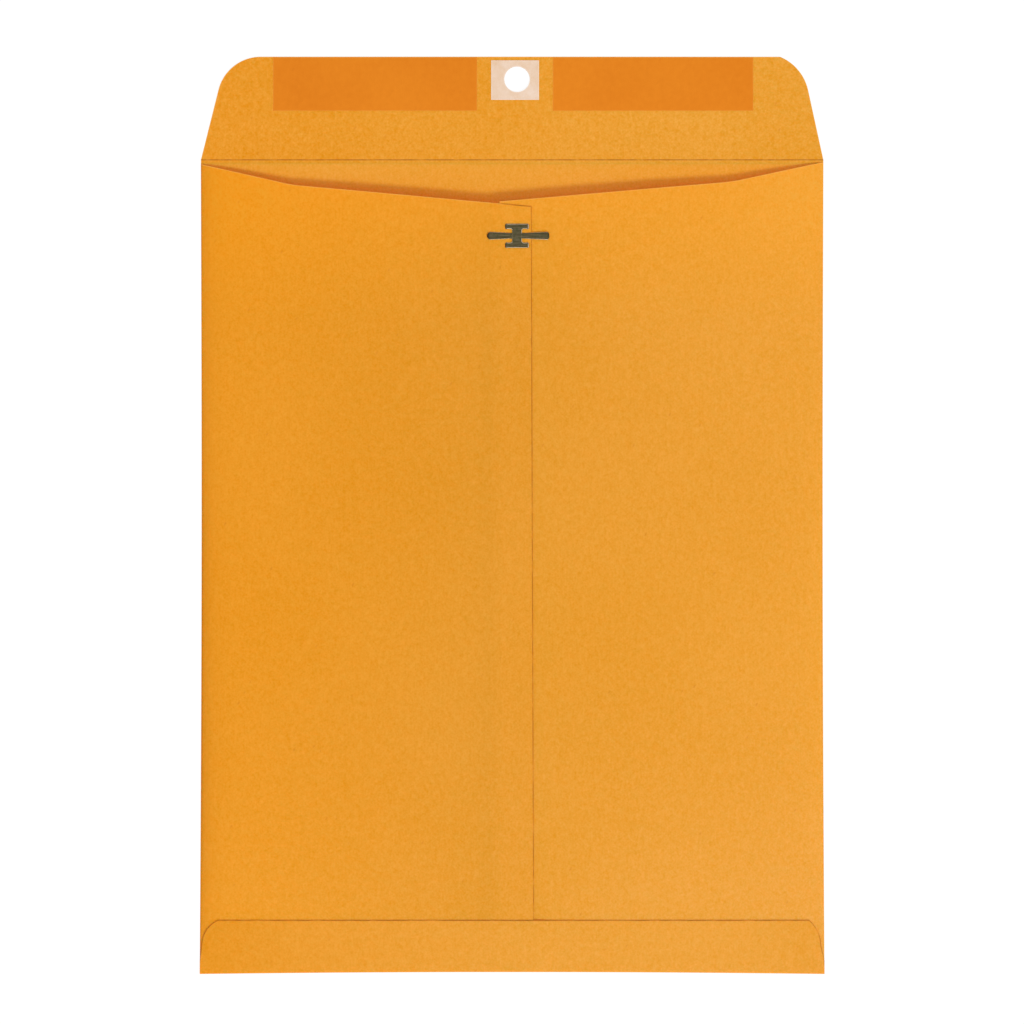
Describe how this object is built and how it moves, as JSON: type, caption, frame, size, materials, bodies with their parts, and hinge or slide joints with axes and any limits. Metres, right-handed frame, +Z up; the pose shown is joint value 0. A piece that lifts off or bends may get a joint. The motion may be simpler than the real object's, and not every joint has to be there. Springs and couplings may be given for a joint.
{
  "type": "clasp envelope",
  "caption": "Large flat paper envelope with a hinged seal flap, gummed strips, a reinforced hole and a bendable metal clasp over a lapped centre seam.",
  "frame": {"origin": "on the surface it lies on, under the middle of the opened envelope's outline", "axes": "+X across the envelope, +Y from the bottom fold to the seal flap's edge, +Z up, out of the clasp side"},
  "size_m": [0.254, 0.3736, 0.0062],
  "materials": {
    "kraft_paper": "matte uncoated kraft",
    "patch_paper": "matte uncoated",
    "remoistenable_gum": "satin dried gum",
    "dried_glue": "dried",
    "tinned_steel": "dull tinned sheet"
  },
  "bodies": {
    "envelope": {"face_panel": "kraft_paper", "left_side_panel": "kraft_paper", "right_side_panel": "kraft_paper", "bottom_flap": "kraft_paper", "center_seam_glue": "dried_glue", "bottom_flap_glue": "dried_glue", "clasp_base": "tinned_steel"},
    "seal_flap": {"seal_flap": "kraft_paper", "left_gum_strip": "remoistenable_gum", "right_gum_strip": "remoistenable_gum", "hole_patch": "patch_paper"},
    "left_prong": {"left_prong": "tinned_steel"},
    "right_prong": {"right_prong": "tinned_steel"}
  },
  "joints": [
    {"name": "flap_fold", "type": "hinge", "parent": "envelope", "child": "seal_flap", "pos_m": [0, 0.14475, 0.0002], "axis": [1, 0, 0], "range_deg": [0, 156]},
    {"name": "left_prong_bend", "type": "hinge", "parent": "envelope", "child": "left_prong", "pos_m": [0.00003, 0.11325, 0.00544], "axis": [0, 1, 0], "range_deg": [0, 90]},
    {"name": "right_prong_bend", "type": "hinge", "parent": "envelope", "child": "right_prong", "pos_m": [0.00398, 0.11325, 0.00544], "axis": [0, -1, 0], "range_deg": [0, 90]}
  ]
}
